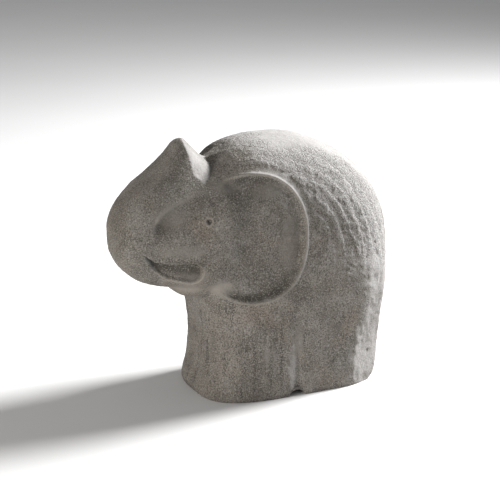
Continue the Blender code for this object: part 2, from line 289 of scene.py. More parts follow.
# Pits: size of the lattice they sit in, share of it that holds one, depth, radius, and the smallest one's
# share of that radius
PIT_LATTICE = 0.011
PIT_SHARE = 0.10
PIT_DEPTH = 0.0011
PIT_RADIUS = 0.0013
PIT_SMALLEST = 0.6
PIT_SEED = 41

# Places trowelled smooth: (along, up, radius along, radius up). Their edges are ragged, and fade between two
# shares of the radius
SMOOTH_PLACES = (
    (0.485, 0.820, 0.070, 0.030),
    (0.560, 0.620, 0.040, 0.120),
    (0.324, 0.461, 0.045, 0.040),
    (0.215, 0.455, 0.050, 0.030),
    (0.140, 0.740, 0.060, 0.060),
    (0.230, 0.520, 0.060, 0.030),
    (0.340, 0.840, 0.050, 0.030),
    (0.590, 0.190, 0.024, 0.130),
    (0.480, 0.180, 0.030, 0.040),
    (0.180, 0.620, 0.090, 0.030),
)
SMOOTH_RAG = ((0.020, 0.28, 61), (0.007, 0.22, 62))
SMOOTH_FADE = (0.45, 1.15)

# Where rain and sun have bleached the concrete, and painted light lies on it besides: faces turned this way,
# towards the key lamp, none below the first value, all above the second
BLEACHED_LIT_FROM = (0.75, 0.0, 0.66)
BLEACHED_LIT_FACING = (0.02, 0.32)
BLEACHED_LIT_PATCHES = ((0.012, 0.12, 51), (0.005, 0.08, 52))
# less so towards the head, where it gives way to painted shade
BLEACHED_LIT_LESS = 0.35
BLEACHED_LIT_LESS_FADE = (0.34, 0.58)
# low down, by the share that is left there
BLEACHED_LIT_LOW = 0.74
BLEACHED_LIT_LOW_FADE = (0.25, 0.60)
# on faces turned fully to the rear, which the key lamp lights most
BLEACHED_LIT_REAR_LESS = 0.85
BLEACHED_LIT_REAR = (0.60, 0.92)
# and on the crown of the rump, which faces this way, straight at the key lamp
BLEACHED_LIT_CROWN = (0.77, 0.0, 0.64)
BLEACHED_LIT_CROWN_LESS = 0.55
BLEACHED_LIT_CROWN_FADE = (0.84, 0.98)

# Painted highlights along raised edges: (width, amount)
RIM_HIGHLIGHT = (0.0014, 0.8)
LIP_HIGHLIGHT = (0.0013, 0.9)
FOLD_HIGHLIGHT = (0.0026, 0.7)
EYE_RING_HIGHLIGHT = (0.0011, 1.0)
# The lip's painted highlight fades out upward, and the fold's where the fold is low
LIP_HIGHLIGHT_FADE = (0.2, 0.9)
FOLD_HIGHLIGHT_FADE = (0.0002, 0.0010)
HIGHLIGHT_PATCHES = ((0.005, 0.25, 63),)

# Places given a painted highlight: (along, up, radius along, radius up, amount)
HIGHLIGHT_PLACES = (
    (0.215, 0.455, 0.050, 0.030, 0.90),
    (0.324, 0.461, 0.038, 0.028, 0.90),
    (0.488, 0.827, 0.060, 0.025, 0.15),
)

# Painted shade in the corner inside the ear's rim: it fades in and out at these distances from the rim, and
# lies where the rim turns level, by the sine of the turn
CORNER_SHADE = 0.85
CORNER_FADE_IN = (0.0010, 0.003)
CORNER_FADE_OUT = (0.005, 0.013)
CORNER_LEVEL = (0.35, 0.95)
# Painted shade over the whole ear, in the mouth, in the eye and in the foot of the groove
EAR_SHADE = 0.12
EAR_SHADE_WALL = 0.004
MOUTH_SHADE = 1.2
MOUTH_SHADE_WALL = 0.002
MOUTH_SHADE_LEAST = 0.50
MOUTH_SHADE_SLOPE = (-0.5, 0.5)
PUPIL_SHADE = 1.3
PUPIL_EDGE = (0.0022, 0.0042)
GROOVE_SHADE = 0.6
GROOVE_SHADE_WIDTH = 0.6 * GROOVE_WIDTH
GROOVE_SHADE_TOP = 0.10
SHADE_PATCHES = ((0.006, 0.5, 53),)

# Places darkened with painted shade: (along, up, radius along, radius up, amount)
SHADED_PLACES = (
    (0.122, 0.705, 0.032, 0.034, 0.55),
    (0.155, 0.735, 0.050, 0.045, 0.18),
    (0.421, 0.725, 0.045, 0.045, 0.30),
    (0.400, 0.620, 0.035, 0.050, 0.28),
    (0.509, 0.663, 0.050, 0.022, 0.22),
    (0.458, 0.512, 0.050, 0.040, 0.45),
    (0.355, 0.905, 0.045, 0.030, 0.40),
    (0.385, 0.215, 0.008, 0.045, 0.55),
    (0.505, 0.235, 0.007, 0.055, 0.55),
    (0.272, 0.330, 0.012, 0.030, 0.35),
    (0.650, 0.360, 0.050, 0.040, 0.22),
    (0.150, 0.900, 0.080, 0.110, 0.42),
    (0.235, 0.970, 0.035, 0.060, 0.40),
    (0.290, 0.852, 0.045, 0.045, 0.35),
    (0.360, 0.800, 0.090, 0.050, 0.42),
    (0.300, 0.640, 0.080, 0.060, 0.10),
    (0.520, 0.480, 0.060, 0.060, 0.22),
    (0.588, 0.620, 0.024, 0.150, 0.40),
    (0.200, 0.640, 0.080, 0.050, 0.10),
)

# Colours of the concrete
CEMENT_DARK = (0.130, 0.118, 0.101, 1.0)
CEMENT_PALE = (0.197, 0.180, 0.159, 1.0)
CEMENT_WARM = (0.205, 0.168, 0.138, 1.0)
CEMENT_COOL = (0.142, 0.140, 0.128, 1.0)
CEMENT_SMOOTH = (0.195, 0.182, 0.165, 1.0)
# bleached cement, with painted light on faces turned to the key lamp
CEMENT_BLEACHED_LIT = (0.358, 0.348, 0.340, 1.0)
# painted shade in the comb's troughs and painted highlight on its crests
TROUGH_SHADE = (0.130, 0.120, 0.108, 1.0)
CREST_HIGHLIGHT = (0.400, 0.388, 0.376, 1.0)
DRIP = (0.068, 0.063, 0.055, 1.0)
# painted shade in corners and hollows
SHADE_COLOUR = (0.052, 0.047, 0.039, 1.0)
# painted highlight on raised edges
HIGHLIGHT_COLOUR = (0.270, 0.250, 0.222, 1.0)
PORE = (0.050, 0.045, 0.038, 1.0)
DARK_SAND = (0.055, 0.050, 0.044, 1.0)
# dark grains where bleached, with painted light
DARK_SAND_BLEACHED_LIT = (0.190, 0.182, 0.172, 1.0)
PALE_SAND = (0.340, 0.322, 0.298, 1.0)
# pale grains where bleached, with painted light
PALE_SAND_BLEACHED_LIT = (0.560, 0.545, 0.530, 1.0)

# Noises in the concrete: (scale, detail, roughness)
PATCH_NOISE = (26.0, 4.0, 0.6)
SAND_NOISE = (640.0, 3.0, 0.65)
DRIP_NOISE = (1.0, 3.0, 0.6)
DRIP_STRETCH = (90.0, 90.0, 9.0)
SPARSE_NOISE = (45.0, 2.0, 0.5)
ROUGH_NOISE = (60.0, 2.0, 0.5)
COARSE_NOISE = (330.0, 2.0, 0.60)
PORE_SCALE = 150.0

# Ramps in the concrete: the value at which each starts and ends, then what it gives at both ends
PATCH_RAMP = (0.35, 0.65, 0.0, 1.0)
TROUGH_RAMP = (0.25, 1.0, 0.0, 0.28)
CREST_RAMP = (0.35, 1.0, 0.0, 0.55)
DRIP_RAMP = (0.50, 0.66, 0.0, 0.90)
DRIP_UP_RAMP = (0.09, 0.19, 1.0, 0.0)
# drips fade where the skin is bleached and carries painted light
DRIP_BLEACHED_LIT_RAMP = (0.0, 1.0, 1.0, 0.3)
DRIP_SAND_RAMP = (0.56, 0.44, 0.22, 1.0)
PORE_RAMP = (0.10, 0.20, 0.75, 0.0)
SPARSE_RAMP = (0.48, 0.60, 0.0, 1.0)
DARK_SAND_RAMP = (0.485, 0.385, 0.0, 0.80)
PALE_SAND_RAMP = (0.535, 0.635, 0.0, 0.55)
SANDY_SMOOTH_RAMP = (0.0, 1.0, 1.0, 0.35)
SANDY_HIGHLIGHT_RAMP = (0.0, 0.8, 1.0, 0.3)
SANDY_COMBED_RAMP = (0.2, 0.8, 0.65, 0.0)
ROUGH_RAMP = (0.3, 0.7, 0.86, 0.98)
FINE_RAMP = (0.1, 0.8, 0.50, 1.0)
COARSE_RAMP = (0.2, 0.9, 0.35, 0.80)

# Tints over the cement: (scale of the noise, its ramp, colour)
CEMENT_TINTS = (
    (17.0, (0.52, 0.72, 0.0, 0.45), CEMENT_WARM),
    (13.0, (0.50, 0.70, 0.0, 0.40), CEMENT_COOL),
)
# How much of what is under them the smooth tint, the painted shade and the painted highlight cover
SMOOTH_COVER = 0.40
SHADE_COVER = 0.85
HIGHLIGHT_COVER = 0.60

# Surface: its gloss, and the heights of its fine and its coarse grain
GLOSS = 0.25
FINE_HEIGHT = 0.0020
COARSE_HEIGHT = 0.0016

# Floor: half its side, the scale of its noise, its two tones and its roughness
FLOOR_HALF = 15.0
FLOOR_SCALE = 3.0
FLOOR_TONES = ((0.70, 0.70, 0.70, 1.0), (0.73, 0.73, 0.73, 1.0))
FLOOR_ROUGHNESS = 0.9

# Light: a white sky, and lamps of (name, size, power, place, colour) aimed at one place
SKY_COLOUR = (1.0, 1.0, 1.0, 1.0)
SKY_STRENGTH = 0.34
LAMP_AIM = (0.0, 0.0, 0.15)
LAMPS = (
    ("key", 0.7, 184.0, (2.03, 0.14, 1.70), (1.0, 1.0, 1.0)),
    ("front", 1.0, 42.0, (-2.4, -0.75, 0.35), (1.0, 0.95, 0.89)),
)

# Camera: its angles in degrees, its distance, and what it shares with the photograph: the pixels on a side,
# the pixels to a metre at the statue, and how many of them it aims right of and above the statue's middle
CAMERA_AZIMUTH = -25.0
CAMERA_ELEVATION = 16.0
CAMERA_DISTANCE = 1.70
SENSOR_WIDTH = 36.0
PHOTO_SIDE = 500
PIXELS_PER_METRE = 799.7
AIM_RIGHT = 2.0
AIM_ABOVE = 8.5


def place(along, across, up):
    """Shares to metres, with the trunk's front at x = 0."""
    return along * LENGTH, across * WIDTH / 2, up * HEIGHT


def through(stations, heights):
    """Smooth columns through the stations' rows, read at the given shares up."""
    table = np.array(stations)
    known, values = table[:, 0], table[:, 1:]
    slopes = np.gradient(values, known, axis=0)
    row = np.clip(np.searchsorted(known, heights) - 1, 0, len(known) - 2)
    span = (known[row + 1] - known[row])[:, None]
    t = (heights - known[row])[:, None] / span
    return (
        values[row] * (1 + 2 * t) * (1 - t) ** 2
        + values[row + 1] * t**2 * (3 - 2 * t)
        + slopes[row] * span * t * (1 - t) ** 2
        - slopes[row + 1] * span * t**2 * (1 - t)
    )


def ease(value, low, high):
    """0 below low, 1 above high, smooth between."""
    t = np.clip((value - low) / (high - low), 0, 1)
    return t * t * (3 - 2 * t)


def bump(distance, width):
    """1 at no distance, falling off over the width."""
    return np.exp(-((distance / width) ** 2))


def level_ring(up, front, rear, across, squareness, squarer=0.0, slope=0.0, arris=1.0):
    """One level section: a superellipse between its front and its rear.

    Its rear is squarer by a share, and its sides draw in by the slope past the arris.
    """
    middle, half = (front + rear) / 2, (rear - front) / 2
    points = []
    for step in range(RING_POINTS):
        angle = 2 * math.pi * step / RING_POINTS
        c, s = math.cos(angle), math.sin(angle)
        power = 2 / (squareness * (1 + squarer * (c > 0)))
        along = middle + half * math.copysign(abs(c) ** power, c)
        drawn_in = slope * max(0, along - arris) * LENGTH / (WIDTH / 2)
        side = min(across * abs(s) ** power, across - drawn_in)
        points.append(place(along, math.copysign(side, s), up))
    return points


def loft(bm, rings):
    """Skins a stack of rings, lowest first, and caps both ends."""
    loops = [[bm.verts.new(p) for p in ring] for ring in rings]
    for below, above in zip(loops, loops[1:]):
        for i in range(len(below)):
            j = (i + 1) % len(below)
            bm.faces.new((below[i], below[j], above[j], above[i]))
    bm.faces.new(list(reversed(loops[0])))
    bm.faces.new(loops[-1])


def add_column(bm, stations, rings):
    """A mass lofted through level sections."""
    heights = np.linspace(stations[0][0], stations[-1][0], rings)
    loft(bm, [level_ring(up, *row) for up, row in zip(heights, through(stations, heights))])


def add_body(bm):
    """Legs, flanks and the domed back."""
    lowest, highest = BODY_STATIONS[0], BODY_STATIONS[-1]
    heights = np.linspace(lowest[0], highest[0], BODY_RINGS)
    squarer = RUMP_SQUARER * (1 - ease(heights, *RUMP_SQUARER_FADE))
    slope = RUMP_SLOPE * (1 - ease(heights, *RUMP_SLOPE_FADE))
    rump = np.column_stack([squarer, slope, through(RUMP_ARRIS, heights)])
    rows = zip(heights, through(BODY_STATIONS, heights), rump)
    rings = [level_ring(up, *row, *rear) for up, row, rear in rows]
    rings.insert(0, level_ring(-UNDERSIDE_DEPTH / HEIGHT, *lowest[1:], *rump[0]))
    middle, top = DOME_APEX
    start, front, rear, across, squareness = highest
    for angle in np.radians(np.linspace(*DOME_SWEEP, DOME_RINGS)):
        rise = math.sin(angle)

        def shrink(fullness):
            return (1 - rise**fullness) ** (1 / fullness)

        rings.append(
            level_ring(
                start + (top - start) * rise,
                middle - (middle - front) * shrink(DOME_FULLNESS_FRONT),
                middle + (rear - middle) * shrink(DOME_FULLNESS_REAR),
                across * shrink(DOME_FULLNESS_ACROSS),
                squareness,
            )
        )
    loft(bm, rings)


def add_egg(bm, centre, half):
    """A rounded mass on the centreline."""
    around, upward = EGG_SEGMENTS
    made = bmesh.ops.create_uvsphere(bm, u_segments=around, v_segments=upward, radius=1.0)
    for vert in made["verts"]:
        x, y, z = vert.co
        vert.co = place(centre[0] + half[0] * x, half[1] * y, centre[1] + half[2] * z)


def mesh_object(name, fill):
    """A new object whose mesh the given function fills."""
    bm = bmesh.new()
    fill(bm)
    bmesh.ops.recalc_face_normals(bm, faces=bm.faces)
    mesh = bpy.data.meshes.new(name)
    bm.to_mesh(mesh)
    bm.free()
    obj = bpy.data.objects.new(name, mesh)
    bpy.context.scene.collection.objects.link(obj)
    return obj


def masses(bm):
    """Everything that is fused into the casting."""
    add_body(bm)
    add_column(bm, HEAD_STATIONS, HEAD_RINGS)
    add_column(bm, TRUNK_STATIONS, TRUNK_RINGS)
    add_egg(bm, THROAT_CENTRE, THROAT_HALF)


def bake(obj):
    """Applies the object's modifiers."""
    graph = bpy.context.evaluated_depsgraph_get()
    mesh = bpy.data.meshes.new_from_object(obj.evaluated_get(graph))
    obj.modifiers.clear()
    old, obj.data = obj.data, mesh
    bpy.data.meshes.remove(old)


def knead(obj, grain, passes):
    """Fuses overlapping masses into one skin of the given grain and softens where they meet."""
    remesh = obj.modifiers.new("fuse", "REMESH")
    remesh.mode = "VOXEL"
    remesh.voxel_size = grain
    smooth = obj.modifiers.new("soften", "SMOOTH")
    smooth.factor = SOFTENING
    smooth.iterations = passes
    bake(obj)


def cut_with(obj, cutter):
    """Takes the cutter's shape out of the object and removes the cutter."""
    cut = obj.modifiers.new("cut", "BOOLEAN")
    cut.operation = "DIFFERENCE"
    cut.solver = "EXACT"
    cut.object = cutter
    bake(obj)
    bpy.data.objects.remove(cutter)


def notch_cutter(side):
    """A curved wedge whose edge is the notch's root on one side."""
    table = [(root[1], *root, *trunk, *brow) for root, trunk, brow in NOTCH_STATIONS]
    spots = np.linspace(table[0][0], table[-1][0], NOTCH_RINGS)
    stations = through(table, spots).reshape(-1, 3, 3)
    inner = stations[:1] - np.array([0, NOTCH_OVERLAP, 0])
    stations = np.concatenate([inner, stations])

    def corner(root, edge):
        root = Vector(place(root[0], side * root[1], root[2]))
        edge = Vector(place(edge[0], side * edge[1], edge[2]))
        return root + (edge - root) * NOTCH_REACH

    rings = [[corner(root, root), corner(root, trunk), corner(root, brow)] for root, trunk, brow in stations]
    return mesh_object("notch", lambda bm: loft(bm, rings))


def arch_cutter(side):
    """A rounded arch that opens on one side between the legs."""

    def fill(bm):
        around, upward = EGG_SEGMENTS
        bmesh.ops.create_uvsphere(bm, u_segments=around, v_segments=upward, radius=1.0)
        x, y, _ = place(GROOVE, side * BODY_STATIONS[1][3], 0)
        for vert in bm.verts:
            vert.co = (x + vert.co.x * ARCH_WIDTH / 2, y + vert.co.y * ARCH_DEPTH, vert.co.z * ARCH_HEIGHT)

    return mesh_object("arch", fill)


def ear_reach(along, up):
    """Metres outside the ear's edge, the turn in degrees from the rear, and how much of the rim shows."""
    dx = (along - EAR_CENTRE[0]) / EAR_RADII[0]
    dz = (up - EAR_CENTRE[1]) / EAR_RADII[1]
    reach = (abs(dx) ** EAR_SQUARENESS + abs(dz) ** EAR_SQUARENESS) ** (1 / EAR_SQUARENESS)
    turn = np.degrees(np.arctan2(dz, dx))
    low, high = EAR_TURN
    shown = ease(turn, low - EAR_TURN_FADE, low) * (1 - ease(turn, high, high + EAR_TURN_FADE))
    return (reach - 1) * EAR_SIZE, turn, shown


def ear_relief(along, up):
    """A shallow dish inside a raised rim; towards the head both fade out."""
    outward, _, shown = ear_reach(along, up)
    rim = EAR_RIM_HEIGHT * bump(outward, EAR_RIM_WIDTH) * shown
    dish = EAR_DISH * ease(-outward, 0, EAR_WALL) * ease(along, *EAR_LEFT_EDGE)
    return rim - dish


def blots(places, along, up):
    """The sum of soft-edged places, each (along, up, radius along, radius up, amount)."""
    total = 0
    for a, b, half_a, half_b, amount in places:
        total = total + amount * bump(np.hypot((along - a) / half_a, (up - b) / half_b), 1)
    return total


def follow(path, along, up):
    """Metres from the path, metres above it, and its third value at the nearest place."""
    x, z = along * LENGTH, up * HEIGHT
    nearest = np.full_like(x, np.inf)
    above = np.zeros_like(x)
    value = np.zeros_like(x)
    for (a0, b0, v0), (a1, b1, v1) in zip(path, path[1:]):
        x0, z0, dx, dz = a0 * LENGTH, b0 * HEIGHT, (a1 - a0) * LENGTH, (b1 - b0) * HEIGHT
        t = np.clip(((x - x0) * dx + (z - z0) * dz) / (dx * dx + dz * dz), 0, 1)
        off_x, off_z = x - x0 - t * dx, z - z0 - t * dz
        distance = np.hypot(off_x, off_z)
        closer = distance < nearest
        nearest = np.where(closer, distance, nearest)
        above = np.where(closer, off_z, above)
        value = np.where(closer, v0 + t * (v1 - v0), value)
    return nearest, above, value


def fold_relief(along, up):
    """A ridge between the trunk and the cheek, and the hollow under it."""
    distance, _, height = follow(FOLD_PATH, along, up)
    below, _, depth = follow(HOLLOW_PATH, along, up)
    return height * bump(distance, FOLD_WIDTH) - depth * bump(below, HOLLOW_WIDTH)


def mouth_relief(along, up):
    """A recess that is deepest under the upper lip, with a fine lip round it.

    Its floor slopes from MOUTH_SHALLOWS of the depth to the whole, between two shares of the half height.
    """
    distance, above, half = follow(MOUTH_PATH, along, up)
    inside = half - distance
    floor = MOUTH_SHALLOWS + (1 - MOUTH_SHALLOWS) * ease(above / half, *MOUTH_SLOPE)
    recess = MOUTH_DEPTH * ease(inside, 0, MOUTH_WALL) * floor
    lip = MOUTH_LIP_HEIGHT * ease(half, *MOUTH_LIP_FADE) * bump(inside + MOUTH_LIP_WIDTH, MOUTH_LIP_WIDTH)
    return lip - recess


def eye_distance(along, up):
    """Metres from the middle of the eye."""
    return np.hypot((along - EYE[0]) * LENGTH, (up - EYE[1]) * HEIGHT)


def eye_relief(along, up):
    """A ring round a small hole."""
    distance = eye_distance(along, up)
    ring = EYE_RING_HEIGHT * bump(distance - EYE_RADIUS, EYE_RING_WIDTH)
    return ring - EYE_HOLE_DEPTH * bump(distance, EYE_HOLE_RADIUS)


def groove_relief(along, up):
    """An upright groove between the legs, deepest at the foot."""
    off = (along - GROOVE) * LENGTH
    return -GROOVE_DEPTH * bump(off, GROOVE_WIDTH) * (1 - ease(up, 0, GROOVE_TOP))


def scramble(cells, seed):
    """A whole number for each cell of a lattice, shuffled by the seed and the same on every run."""
    n = cells @ np.array(SHUFFLE_CELL) ^ seed * SHUFFLE_SEED
    n = (n ^ n >> 13) * SHUFFLE_STIR
    return n ^ n >> 16


def speckle(points, size, seed):
    """Smooth noise between -1 and 1 at the given grain size, one number or one for each axis."""
    p = points / np.array(size)
    cell = np.floor(p).astype(np.int64)
    t = p - cell
    t = t * t * (3 - 2 * t)
    total = np.zeros(len(p))
    for corner in range(8):
        step = np.array([corner & 1, corner >> 1 & 1, corner >> 2])
        n = scramble(cell + step, seed)
        total += np.where(step, t, 1 - t).prod(axis=1) * ((n & 0xFFFF) / 0x7FFF - 1)
    return total


def layered(points, layers):
    """The sum of noises, each given as (size, amount, seed)."""
    return sum(amount * speckle(points, size, seed) for size, amount, seed in layers)


def pits(points):
    """Small round pits at seeded places of a lattice."""
    cell = np.floor(points / PIT_LATTICE).astype(np.int64)
    depth = np.zeros(len(points))
    for near in np.ndindex(3, 3, 3):
        spot = cell + np.array(near) - 1
        n = scramble(spot, PIT_SEED)
        inside = np.stack([(n >> shift & 0x3FF) / 0x3FF for shift in (0, 10, 20)], axis=1)
        there = (n >> 5 & 0x3FF) / 0x3FF < PIT_SHARE
        radius = PIT_RADIUS * (PIT_SMALLEST + (n >> 12 & 0xFF) / 0xFF)
        gap = np.linalg.norm(points - (spot + inside) * PIT_LATTICE, axis=1)
        depth = np.maximum(depth, np.where(there, bump(gap, radius), 0))
    return depth


def smoothness(where, along, up, sideways):
    """How smooth the trowel left the skin: 1 in the middle of each smooth place, 0 outside them."""
    ragged = layered(where, SMOOTH_RAG)
    total = np.zeros_like(along)
    for a, b, half_a, half_b in SMOOTH_PLACES:
        reach = np.hypot((along - a) / half_a, (up - b) / half_b) + ragged
        total = np.maximum(total, 1 - ease(reach, *SMOOTH_FADE))
    return total * sideways


def off_ear(along, up, sideways):
    """Metres outside the ear's edge; skin that hardly faces sideways is far from it."""
    outward, _, _ = ear_reach(along, up)
    return np.where(sideways > EAR_FACING, outward, EAR_FAR)


def comb_strokes(where, along, up):
    """How high the comb's strokes stand and how near their crests are, both from 0 to 1."""
    x, z = (along - COMB_CENTRE[0]) * LENGTH, (up - COMB_CENTRE[1]) * HEIGHT
    turn = (np.hypot(x, z) + layered(where, COMB_WANDER)) / COMB_PITCH
    number = np.floor(turn)
    step = turn - number
    run = np.stack([number * COMB_APART, np.arctan2(z, x) * COMB_RADIUS, where[:, 1] * COMB_ACROSS], axis=1)
    whole = COMB_LEFT + (1 - COMB_LEFT) * ease(speckle(run, COMB_RUN, COMB_RUN_SEED), *COMB_BREAK)
    rise = step**2 * (1 - ease(step, *COMB_DROP))
    crest = (1 + np.cos(2 * math.pi * (step - COMB_CREST))) / 2
    return rise * whole, crest * whole


def combing(where, along, up, outward):
    """How far the combed coat stands out, how much of it there is, and where its strokes' crests are."""
    rise, crest = comb_strokes(where, along, up)
    lean = up - LEAN_UP
    clear = ease(outward, *COAT_OFF_EAR)
    lower_edge = COAT_EDGE[1] - COAT_EDGE_FALL * (along - COAT_EDGE[0])
    coat = ease(up + layered(where, COAT_EDGE_RAG) - lower_edge, *COAT_EDGE_FADE) * clear
    coat = coat * ease(along + COAT_FRONT_LEAN * lean, *COAT_FRONT)
    faint = FAINT * ease(up, *FAINT_UP) * ease(along, *FAINT_ALONG) * clear
    bare = ease(along + BARE_LEAN * lean + layered(where, BARE_RAG), *BARE_FROM)
    bare = bare * (1 - ease(abs(where[:, 1]) / (WIDTH / 2), *BARE_ACROSS))
    amount = np.maximum(coat, faint) * (1 - BARE * bare)
    grit = layered(where, COMB_GRIT) * (GRIT_BETWEEN + GRIT_ON_STROKES * rise)
    height = COMB_HEIGHT * rise + COAT_THICKNESS * (coat - COAT_SUNK) + grit
    return height * amount, amount, crest * amount


def survey(mesh, front=0.0):
    """Each vertex's place, normal, shares along and up, and how much it faces sideways.

    The mesh has the trunk's front at the given x, and the places are counted from there.
    """
    where = np.empty(len(mesh.vertices) * 3)
    normals = np.empty_like(where)
    mesh.vertices.foreach_get("co", where)
    mesh.vertex_normals.foreach_get("vector", normals)
    where, normals = where.reshape(-1, 3), normals.reshape(-1, 3)
    where[:, 0] -= front
    sideways = ease(abs(normals[:, 1]), *CARVED_FACING)
    return where, normals, where[:, 0] / LENGTH, where[:, 2] / HEIGHT, sideways


def push_out(mesh, where, normals, height):
    """Moves each vertex from its place along its normal."""
    mesh.vertices.foreach_set("co", (where + normals * height[:, None]).ravel())
    mesh.update()


def carve(obj):
    """Works the form's relief into the skin."""
    where, normals, along, up, sideways = survey(obj.data)
    height = ear_relief(along, up) + blots(SWELLS, along, up) + mouth_relief(along, up)
    height = height + fold_relief(along, up) + eye_relief(along, up) + groove_relief(along, up)
    push_out(obj.data, where, normals, height * sideways)


def weather(obj):
    """Lumps, combed mortar, rills and pits, all in the mesh."""
    where, normals, along, up, sideways = survey(obj.data)
    smooth = smoothness(where, along, up, sideways)
    height, _, _ = combing(where, along, up, off_ear(along, up, sideways))
    rills = np.clip(speckle(where, RILL_SIZE, RILL_SEED), 0, 1)
    height = height - RILL_DEPTH * rills * (1 - ease(up, *RILL_FADE))
    height = height + layered(where, LUMPS) * (1 - LUMPS_SMOOTHED * smooth)
    height = height - PIT_DEPTH * pits(where) * (1 - smooth)
    push_out(obj.data, where, normals, height * ease(up, *FOOT_FADE))


def facet(obj):
    """Thins the skin out to the triangles it keeps."""
    reduce = obj.modifiers.new("facet", "DECIMATE")
    reduce.decimate_type = "COLLAPSE"
    reduce.ratio = SKIN_FACETS / (2 * len(obj.data.polygons))
    bake(obj)


def stand(obj):
    """Cuts the underside flat at ground level and centres the casting over the origin."""
    bm = bmesh.new()
    bm.from_mesh(obj.data)
    geometry = bm.verts[:] + bm.edges[:] + bm.faces[:]
    cut = bmesh.ops.bisect_plane(bm, geom=geometry, plane_co=(0, 0, 0), plane_no=(0, 0, 1), clear_inner=True)
    rim = [e for e in cut["geom_cut"] if isinstance(e, bmesh.types.BMEdge)]
    bmesh.ops.holes_fill(bm, edges=rim)
    low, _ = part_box("elephant")
    bmesh.ops.translate(bm, verts=bm.verts, vec=(low[0], 0, 0))
    bmesh.ops.recalc_face_normals(bm, faces=bm.faces)
    # the underside, one face of many corners, is shaded flat
    for face in bm.faces:
        face.smooth = len(face.verts) <= 4
    bm.to_mesh(obj.data)
    bm.free()


def painted_highlight_share(where, along, up, sideways):
    """Painted highlights along raised edges and on other places."""
    outward, _, shown = ear_reach(along, up)
    distance, above, half = follow(MOUTH_PATH, along, up)
    lip_shown = ease(half, *MOUTH_LIP_FADE) * (1 - ease(above / half, *LIP_HIGHLIGHT_FADE))
    ridge, _, height = follow(FOLD_PATH, along, up)
    edges = (
        (RIM_HIGHLIGHT, outward, shown),
        (LIP_HIGHLIGHT, half - distance + MOUTH_LIP_WIDTH, lip_shown),
        (FOLD_HIGHLIGHT, ridge, ease(height, *FOLD_HIGHLIGHT_FADE)),
        (EYE_RING_HIGHLIGHT, eye_distance(along, up) - EYE_RADIUS, 1),
    )
    painted_highlight = sum(amount * bump(gap, width) * share for (width, amount), gap, share in edges)
    painted_highlight = painted_highlight * sideways + blots(HIGHLIGHT_PLACES, along, up)
    return np.clip(painted_highlight * (1 + layered(where, HIGHLIGHT_PATCHES)), 0, 1)


def painted_shade_share(where, along, up, sideways):
    """Corners and hollows darkened with painted shade, and other places painted darker likewise."""
    outward, turn, shown = ear_reach(along, up)
    corner = ease(-outward, *CORNER_FADE_IN) * (1 - ease(-outward, *CORNER_FADE_OUT)) * shown
    corner = corner * ease(abs(np.sin(np.radians(turn))), *CORNER_LEVEL)
    ear = ease(-outward, 0, EAR_SHADE_WALL) * ease(along, *EAR_LEFT_EDGE)
    distance, above, half = follow(MOUTH_PATH, along, up)
    mouth = MOUTH_SHADE_LEAST + (1 - MOUTH_SHADE_LEAST) * ease(above / half, *MOUTH_SHADE_SLOPE)
    mouth = mouth * ease(half - distance, 0, MOUTH_SHADE_WALL)
    pupil = 1 - ease(eye_distance(along, up), *PUPIL_EDGE)
    groove = bump((along - GROOVE) * LENGTH, GROOVE_SHADE_WIDTH) * (1 - ease(up, 0, GROOVE_SHADE_TOP))
    painted_shade = CORNER_SHADE * corner + EAR_SHADE * ear + MOUTH_SHADE * mouth + PUPIL_SHADE * pupil
    painted_shade = painted_shade + GROOVE_SHADE * groove + blots(SHADED_PLACES, along, up)
    return np.clip(painted_shade * sideways * (1 + layered(where, SHADE_PATCHES)), 0, 1)


def bleached_and_lit_share(where, normals, along, up):
    """How far rain and sun have bleached the skin, with painted light on the faces turned to the key lamp."""
    facing = normals @ np.array(BLEACHED_LIT_FROM) - BLEACHED_LIT_LESS * (1 - ease(along, *BLEACHED_LIT_LESS_FADE))
    bleached_and_lit = ease(facing, *BLEACHED_LIT_FACING) * (BLEACHED_LIT_LOW + (1 - BLEACHED_LIT_LOW) * ease(up, *BLEACHED_LIT_LOW_FADE))
    bleached_and_lit = bleached_and_lit * (1 - BLEACHED_LIT_REAR_LESS * ease(normals[:, 0], *BLEACHED_LIT_REAR))
    crown = ease(normals @ np.array(BLEACHED_LIT_CROWN), *BLEACHED_LIT_CROWN_FADE)
    bleached_and_lit = bleached_and_lit * (1 - BLEACHED_LIT_CROWN_LESS * crown)
    return np.clip(bleached_and_lit + layered(where, BLEACHED_LIT_PATCHES), 0, 1)


def mark(obj):
    """Keeps on each vertex how smooth, combed and bleached the concrete is there, with its painted light,
    painted shade and painted highlights.
    """
    low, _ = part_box("elephant")
    where, normals, along, up, sideways = survey(obj.data, low[0])
    _, combed, crest = combing(where, along, up, off_ear(along, up, sideways))
    shares = {
        "smooth": smoothness(where, along, up, sideways),
        "combed": combed,
        "crest": crest,
        # painted shade in corners and hollows
        "painted_shade": painted_shade_share(where, along, up, sideways),
        # bleached, with painted light on faces turned to the key lamp
        "bleached_and_lit": bleached_and_lit_share(where, normals, along, up),
        # painted highlight on raised edges
        "painted_highlight": painted_highlight_share(where, along, up, sideways),
    }
    for name, values in shares.items():
        layer = obj.data.attributes.new(name, "FLOAT", "POINT")
        layer.data.foreach_set("value", values.astype(np.float32))


def build_skin():
    """The whole casting at full detail."""
    elephant = mesh_object("elephant_skin", masses)
    knead(elephant, CLAY_GRAIN, BLEND_PASSES)
    for side in (-1, 1):
        cut_with(elephant, notch_cutter(side))
        cut_with(elephant, arch_cutter(side))
    knead(elephant, SKIN_GRAIN, SKIN_PASSES)
    carve(elephant)
    weather(elephant)
    facet(elephant)
    stand(elephant)
    mark(elephant)
    return elephant


